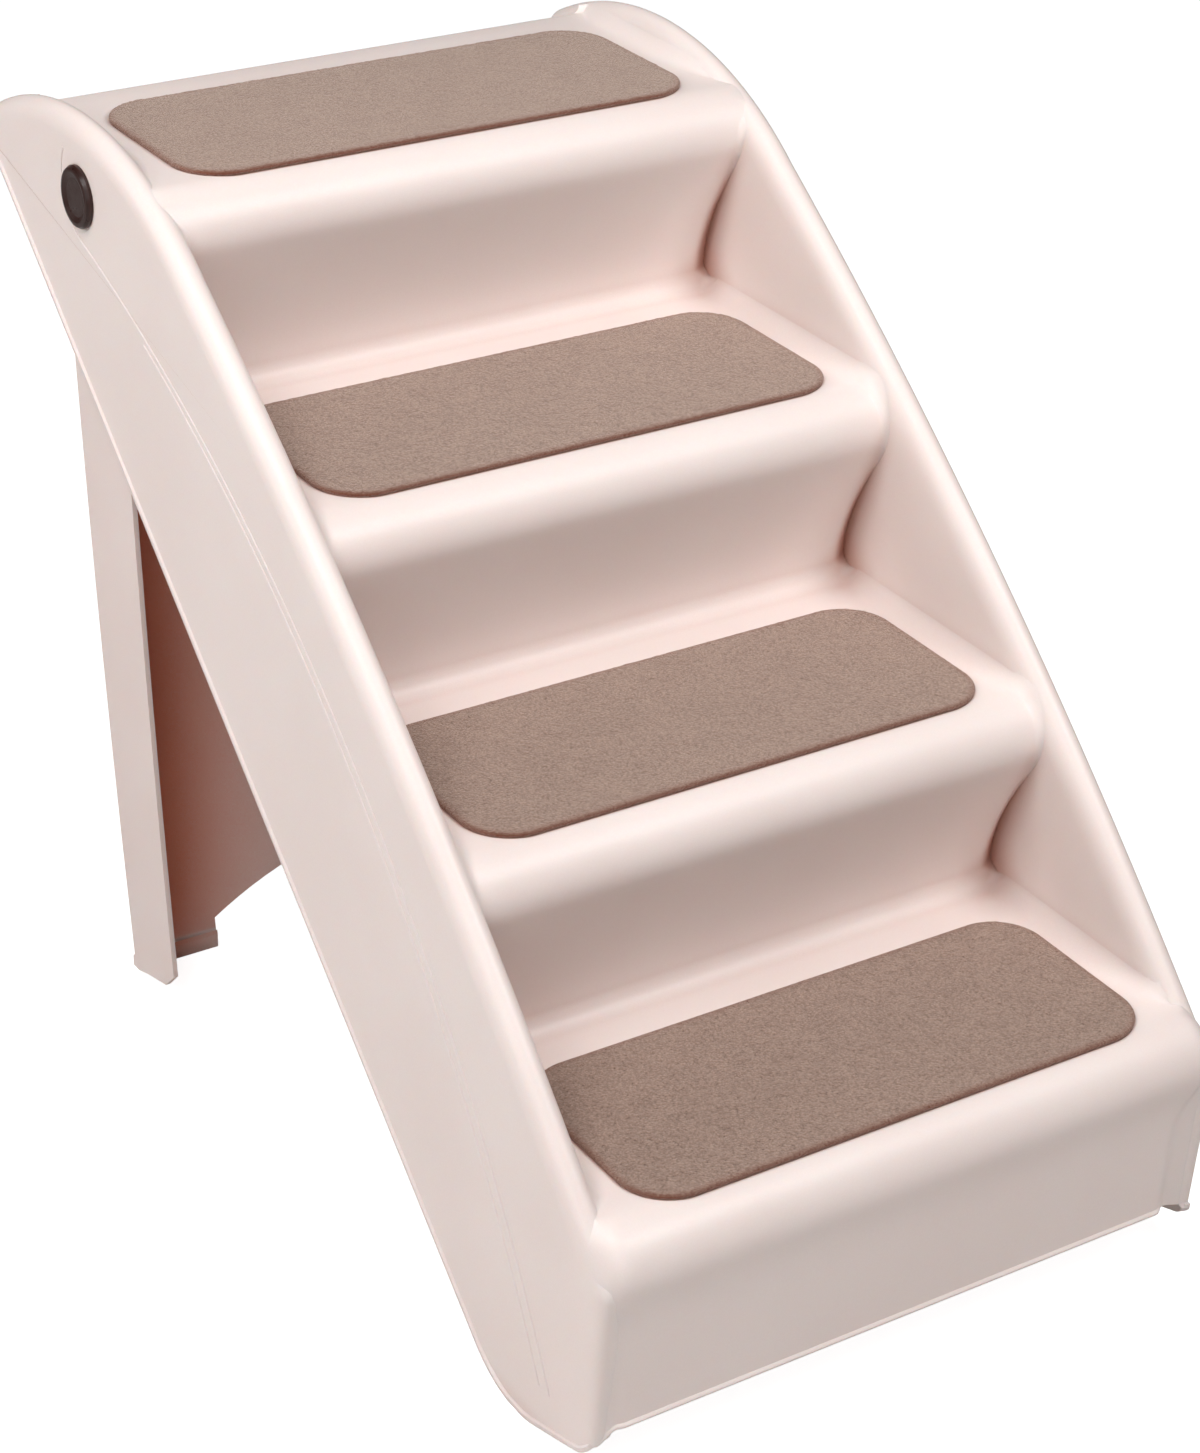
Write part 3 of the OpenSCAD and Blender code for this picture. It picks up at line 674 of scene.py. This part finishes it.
def on_nosing(i):
    """0 on the front panel, 1 from the first nosing's front on."""
    return smooth(STEPS[i].z, 88, 126) if STEPS[i].y < FRONT + 20 else 1


def groove(i):
    """How much of the riser's groove beside the rail there is: none at its ends and most low down."""
    if i < ON_FIRST_NOSING or STEPS[i].y > LAST_NOSING_Y:
        return 0
    tread = FIRST + RISE * math.floor((STEPS[i].z - FIRST + 1) / RISE)
    under_nose, over_tread = 33, 5
    down = (tread + RISE - under_nose - STEPS[i].z) / (RISE - under_nose - over_tread)
    return smooth(down, -0.15, 0.75) * (1 - smooth(down, 0.9, 1.03)) if STEPS_UP[i].z < 0.8 else 0


def cubic(points, t):
    """The place at share t of a cubic curve with four control points."""
    w = ((1 - t) ** 3, 3 * t * (1 - t) ** 2, 3 * t * t * (1 - t), t ** 3)
    return tuple(sum(k * p[axis] for k, p in zip(w, points)) for axis in (0, 1))


def row_curve(i, side, shares):
    """Vertex i's row towards the rail: a cubic from the flat to the end on the rail."""
    (end_x, end_up), (dx, dz) = skin_end(i, side)
    reach = max(1.3 * end_up, 3) if end_up > 0 else min(10 + 0.8 * abs(end_up), 18)
    pull = 0.55 * max(abs(end_up), 1.5)
    start = (end_x - reach, 0)
    points = (start, (start[0] + 0.55 * reach, 0), (end_x - dx * pull, end_up - dz * pull), (end_x, end_up))
    g = groove(i)
    bottom = ((162, 0), (168.5, 0.2), (170.5, -3.5), (SKIN_X, -7.5))
    points = [tuple(a + (b - a) * g for a, b in zip(p, q)) for p, q in zip(points, bottom)]
    places = [cubic(points, t) for t in shares]
    w = on_nosing(i)
    if w < 1:
        step_from, step_to, _ = PANEL_STEP[side]
        begin = step_from - 4
        across = [begin + (end_x - begin) * t for t in shares]
        whole = smooth(end_x, step_from, step_to)
        steps = [(x, end_up * smooth(x, step_from, step_to) / whole) for x in across]
        places = [tuple(b + (a - b) * w for a, b in zip(p, q)) for p, q in zip(places, steps)]
    return places


def skin_place(i, side, x, up):
    """A place of vertex i's row; the front panel's lower edge runs down to the corner post's foot."""
    place = STEPS[i] + STEPS_UP[i] * up
    if i < ON_FRONT_PANEL and place.z < FOOT_TO:
        angle = PANEL_STEP[side][2]
        drop = (STEPS[0].z - roll_place(0, angle).z) * smooth(x, PANEL_FOOT[side], roll_place(0, angle).x)
        place.z -= drop * (FOOT_TO - place.z) / (FOOT_TO - STEPS[0].z)
    return Vector((side * x, place.y, place.z))


def steps_skin():
    """The treads, risers, front panel and rear wall with the trough's soft corners."""
    bm = bmesh.new()
    shares = [k / (CORNER_ROWS - 1) for k in range(CORNER_ROWS)]
    for side in (-1, 1):
        row = step_line(bm)
        for v, place in zip(row, STEPS):
            v.co = place
        for x in FLAT_ROWS:
            row = next_row(bm, row, [Vector((side * x, p.y, p.z)) for p in STEPS])
        curves = [row_curve(i, side, shares) for i in range(len(STEPS))]
        for k in range(CORNER_ROWS):
            row = next_row(bm, row, [skin_place(i, side, *curve[k]) for i, curve in enumerate(curves)])
    face_up_and_thicken(bm, Vector((0, 0, 1)), WALL)
    make_piece(bm, "steps_skin", shell_plastic, ["stair_shell"])


steps_skin()

# %% [markdown]
# A side rail is the same kind of sheet: it rises as the outer panel, rolls over the crest and comes down as
# the trough's wall. The panel is one flat face between the roll and its free edge. The wall is flat too,
# and ends a little below the steps, so it is one face in each place where it stands clear of them.

# %% The side rails
ROLL_ROWS = 10
LAP, GROOVE_LAP = 6.5, 6
REAR_TO, WALL_FOOT_Z = 326, 462.6


def inner_height(inner, y):
    """Height of the roll's inner row over a place y."""
    for a, b in zip(inner, inner[1:]):
        if a.co.y <= y <= b.co.y and b.co.y - a.co.y > 0.01:
            return a.co.z + (b.co.z - a.co.z) * (y - a.co.y) / (b.co.y - a.co.y)
    return -math.inf


def wall_faces(bm, row):
    """One face for each stretch of the stepped line over which the roll's inner row stands clear."""
    inner = [v for v in row if -300 < v.co.y < 300]
    laps = [LAP + GROOVE_LAP * groove(i) for i in range(len(STEPS))]
    low = [(p.y - up.y * lap, p.z - up.z * lap) for p, up, lap in zip(STEPS, STEPS_UP, laps)]
    clear = [z < inner_height(inner, y) - 0.4 for y, z in low]
    made, begin = [], None
    for j in range(len(low) + 1):
        inside = j < len(low) and clear[j]
        if inside and begin is None:
            begin = j
        elif not inside and begin is not None:
            foot = low[begin:j]
            over = [v for v in inner if foot[0][0] < v.co.y < foot[-1][0]]
            if len(foot) > 2 and over:
                made.append(bm.faces.new(over + [bm.verts.new((TROUGH_X, y, z)) for y, z in foot[::-1]]))
            begin = None
    behind = [v for v in row if v.co.y >= TREAD_END - 1]
    rear = [(TROUGH_X, p.y, p.z) for p in EDGE if TREAD_END < p.y < REAR_TO][::-1]
    rear.append((TROUGH_X, TREAD_END - 1, WALL_FOOT_Z))
    made.append(bm.faces.new(behind + [bm.verts.new(place) for place in rear]))
    return made


def side_rail(side):
    """One hollow rail with its panel; side is 1 on the right and -1 on the left."""
    bm = bmesh.new()
    row = outer_row = crest_line(bm)
    for i, v in enumerate(row):
        v.co = roll_place(i, 0)
    for k in range(1, 2 * ROLL_ROWS + 1):
        row = next_row(bm, row, [roll_place(i, 90 * k / ROLL_ROWS) for i in range(len(CREST))])
    panel = [bm.verts.new((HALF_W, p.y, p.z)) for p in EDGE if p.y > PANEL_FROM]
    bm.faces.new(outer_row + panel[::-1])
    walls = wall_faces(bm, row)
    print("wall areas", [round(f.calc_area() / 100) for f in walls], "cm2")
    if side < 0:
        bmesh.ops.scale(bm, vec=(-1, 1, 1), verts=bm.verts)
    face_up_and_thicken(bm, Vector((0, 0, 1)), WALL)
    name = "side_rail_right" if side > 0 else "side_rail_left"
    make_piece(bm, name, shell_plastic, ["stair_shell"])


for side in (-1, 1):
    side_rail(side)

# %% [markdown]
# A hem stiffens the side panels' free edge: a lip 3 mm high that stands 1.5 mm out and runs round the
# corner post's foot. Two thin raised lines fall from the hinge to the toe, and the first starts in an arc
# behind the cap. All of them are beads: a small closed outline that follows a way over the panel.

# %% Hems and raised lines
def bead(bm, ways, outline):
    """Sweeps an outline of (out, in) places along ways of (place, outward, inward), and closes its ends."""
    row = [bm.verts.new(place) for place, _, _ in ways]
    for pair in zip(row, row[1:]):
        bm.edges.new(pair)
    out, inward = outline[0]
    for v, (place, n, u) in zip(row, ways):
        v.co = place + n * out + u * inward
    for out, inward in outline[1:] + outline[:1]:
        row = next_row(bm, row, [place + n * out + u * inward for place, n, u in ways])
    bmesh.ops.remove_doubles(bm, verts=bm.verts, dist=0.001)
    bmesh.ops.holes_fill(bm, edges=[e for e in bm.edges if e.is_boundary], sides=0)


def over_panel(places, inwards):
    """A way over the side panel: each place with its outward side and its inward side."""
    out = Vector((1, 0, 0))
    return [(place + HALF_W * out, out, inward) for place, inward in zip(places, inwards)]


def on_panel(draw):
    """The way over the side panel for a pen's line."""
    bm = bmesh.new()
    places, normals = points_and_normals(draw(bm))
    bm.free()
    return over_panel(places, normals)


def hem_way(side):
    """From the rear corner down the back edge, along the heel and toe, and round the corner post's foot."""
    kept = [(p, n) for p, n in zip(EDGE, EDGE_IN) if p.y > PANEL_FROM]
    ways = over_panel(*zip(*kept))[::-1]
    last = PANEL_STEP[side][2] + 4
    for angle in range(4, last + 1, 4):
        before, here, after = (roll_place(0, a) for a in (angle - 3, angle, angle + 3))
        along = (after - before).normalized()
        out = Vector((-along.y, along.x, 0)).normalized()
        out = out if out.x > 0 or out.y < 0 else -out
        sink = smooth(angle, last - 20, last)
        up = along.cross(out)
        ways.append((here - out * 1.6 * sink, out, up if up.z > 0 else -up))
    return ways


first_line = on_panel(lambda bm: Pen(bm, -291, 30, 64.1).bend(860, -45.7, 60).bend(34, 100, 16).chain)
second_line = on_panel(lambda bm: Pen(bm, -281, 30, 64.1).bend(860, -39.7, 52).chain)
LINE_OUTLINE = [(-0.5, -0.75), (0.3, -0.65), (0.6, -0.35), (0.7, 0), (0.6, 0.35), (0.3, 0.65), (-0.5, 0.75)]
HEM_OUTLINE = [(-0.8, 3.6), (0.9, 3.2), (1.4, 2.7), (1.5, 0.7),
               (1.2, 0.15), (0.6, -0.05), (-2.6, -0.05), (-2.6, 0.8)]
for side in (-1, 1):
    bm = bmesh.new()
    bead(bm, hem_way(side), HEM_OUTLINE)
    bead(bm, first_line, LINE_OUTLINE)
    bead(bm, second_line, LINE_OUTLINE)
    if side < 0:
        bmesh.ops.scale(bm, vec=(-1, 1, 1), verts=bm.verts)
    bmesh.ops.recalc_face_normals(bm, faces=bm.faces)
    name = "hem_and_lines_right" if side > 0 else "hem_and_lines_left"
    make_piece(bm, name, edge_plastic, ["stair_shell"])

# %% [markdown]
# Under the steps the moulding has three tall ribs that follow the stepped line, a stop rib that the leg's
# top edge meets, and a boss round each hinge bore. They can't be seen from the front, but the stairs are
# also looked at from behind and from below.

# %% Ribs and hinge bosses
RIB_W, RIB_H = 2.4, 18
RIB_PLACES = {"left": -88, "middle": 0, "right": 88}


def rib(side_name, x):
    """A thin rib along the steps' underside that keeps clear of the folding leg."""
    bm = bmesh.new()
    keep = [i for i, p in enumerate(STEPS) if p.z > 44 and p.y < 250]
    aside = Vector((x - RIB_W / 2, 0, 0))
    row = [bm.verts.new(STEPS[i] - STEPS_UP[i] * WALL / 2 + aside) for i in keep]
    for pair in zip(row, row[1:]):
        bm.edges.new(pair)
    for depth in (12, WALL + RIB_H):
        row = next_row(bm, row, [STEPS[i] - STEPS_UP[i] * depth + aside for i in keep])
    bmesh.ops.recalc_face_normals(bm, faces=bm.faces)
    bm.normal_update()
    if bm.faces[0].normal.x > 0:
        bmesh.ops.reverse_faces(bm, faces=bm.faces)
    bmesh.ops.solidify(bm, geom=bm.faces, thickness=RIB_W)
    make_piece(bm, f"rib_{side_name}", shell_plastic, ["stair_shell"])


def hinge_boss(side):
    """A turned ring inside the side panel, round the pin's bore."""
    bm = bmesh.new()
    inside, outside, bore, wide = 184.4, 193.5, 6.1, 11
    outline = [(outside, bore), (inside + 0.5, bore), (inside, bore + 0.5),
               (inside, wide - 0.8), (inside + 0.8, wide), (outside, wide)]
    row = [bm.verts.new((side * x, HINGE[0] + r, HINGE[1])) for x, r in outline]
    edges = [bm.edges.new(pair) for pair in zip(row, row[1:] + row[:1])]
    bmesh.ops.spin(bm, geom=row + edges, cent=(0, *HINGE), axis=(1, 0, 0), angle=math.tau, steps=48)
    bmesh.ops.remove_doubles(bm, verts=bm.verts, dist=0.001)
    bmesh.ops.recalc_face_normals(bm, faces=bm.faces)
    name = "hinge_boss_right" if side > 0 else "hinge_boss_left"
    make_piece(bm, name, shell_plastic, ["stair_shell"])


def stop_rib():
    """A bar across the shell, under the rear of the top tread, with eased edges."""
    bm = bmesh.new()
    bmesh.ops.create_cube(bm, size=1)
    deep, tall, middle = 7, 12.2, (0, 257.7, 513.4)
    bmesh.ops.scale(bm, vec=(2 * TROUGH_X, deep, tall), verts=bm.verts)
    bmesh.ops.translate(bm, vec=middle, verts=bm.verts)
    bmesh.ops.bevel(bm, geom=bm.edges[:], offset=0.8, segments=2, affect="EDGES", profile=0.5)
    make_piece(bm, "stop_rib", shell_plastic, ["stair_shell"])


for side_name, x in RIB_PLACES.items():
    rib(side_name, x)
for side in (-1, 1):
    hinge_boss(side)
stop_rib()

# %% [markdown]
# The photograph has a white ground and very soft light, strongest from above. Two lamps close to the stairs
# make treads and nosings brighter than the risers, and two large ones far out on the left light the side
# panel and the leg. The floor and the world read as white to the camera, and the floor keeps the shadow.

# %% Light, floor and world
def soft_lamp(name, place, target, size, power):
    """A square area lamp that looks at a target."""
    lamp = bpy.data.objects.new(name, bpy.data.lights.new(name, "AREA"))
    bpy.context.collection.objects.link(lamp)
    lamp.data.size = size
    lamp.data.energy = power
    lamp.location = place
    lamp.rotation_euler = (Vector(target) - Vector(place)).to_track_quat("-Z", "Y").to_euler()
    return lamp


AIM = (0, 0, 0.25)
soft_lamp("near_left_softbox", (-1.0, -0.3, 1.9), AIM, 0.9, 19.5)
soft_lamp("left_front_softbox", (-1.8, -1.8, 1.2), AIM, 1.4, 12)
soft_lamp("left_back_softbox", (-2.2, 1.0, 1.4), AIM, 1.4, 22)
soft_lamp("near_right_softbox", (0.45, -0.95, 1.55), (0, 0.1, 0.4), 0.7, 15.5)

world = bpy.data.worlds.new("studio")
bpy.context.scene.world = world
world.use_nodes = True
sky = world.node_tree
ground = sky.nodes["Background"]
ray = add_node(sky, "ShaderNodeLightPath", (-600, 0))
seen = add_node(sky, "ShaderNodeMath", (-400, 0),
                {0: ray.outputs["Is Camera Ray"], 1: ray.outputs["Is Transmission Ray"]}, operation="MAXIMUM")
level = add_node(sky, "ShaderNodeMapRange", (-200, 0),
                 {"Value": seen.outputs["Value"], "To Min": 0.05, "To Max": 1.0})
ground.inputs["Color"].default_value = (1, 1, 1, 1)
sky.links.new(level.outputs["Result"], ground.inputs["Strength"])

bm = bmesh.new()
bmesh.ops.create_grid(bm, x_segments=1, y_segments=1, size=6)
floor_mesh = bpy.data.meshes.new("studio_floor")
bm.to_mesh(floor_mesh)
bm.free()
floor = bpy.data.objects.new("studio_floor", floor_mesh)
bpy.context.collection.objects.link(floor)
paper, tree, surface = new_material("studio_paper", Roughness=0.9)
surface.inputs["Base Color"].default_value = linear("#d4d1cf")
surface.inputs["Specular IOR Level"].default_value = 0.1
ray = add_node(tree, "ShaderNodeLightPath", (-600, -300))
lift = add_node(tree, "ShaderNodeMath", (-300, -300),
                {0: ray.outputs["Is Camera Ray"], 1: 0.9}, operation="MULTIPLY")
surface.inputs["Emission Color"].default_value = (1, 1, 1, 1)
tree.links.new(lift.outputs["Value"], surface.inputs["Emission Strength"])
floor_mesh.materials.append(paper)
bpy.context.scene.view_settings.view_transform = "Standard"
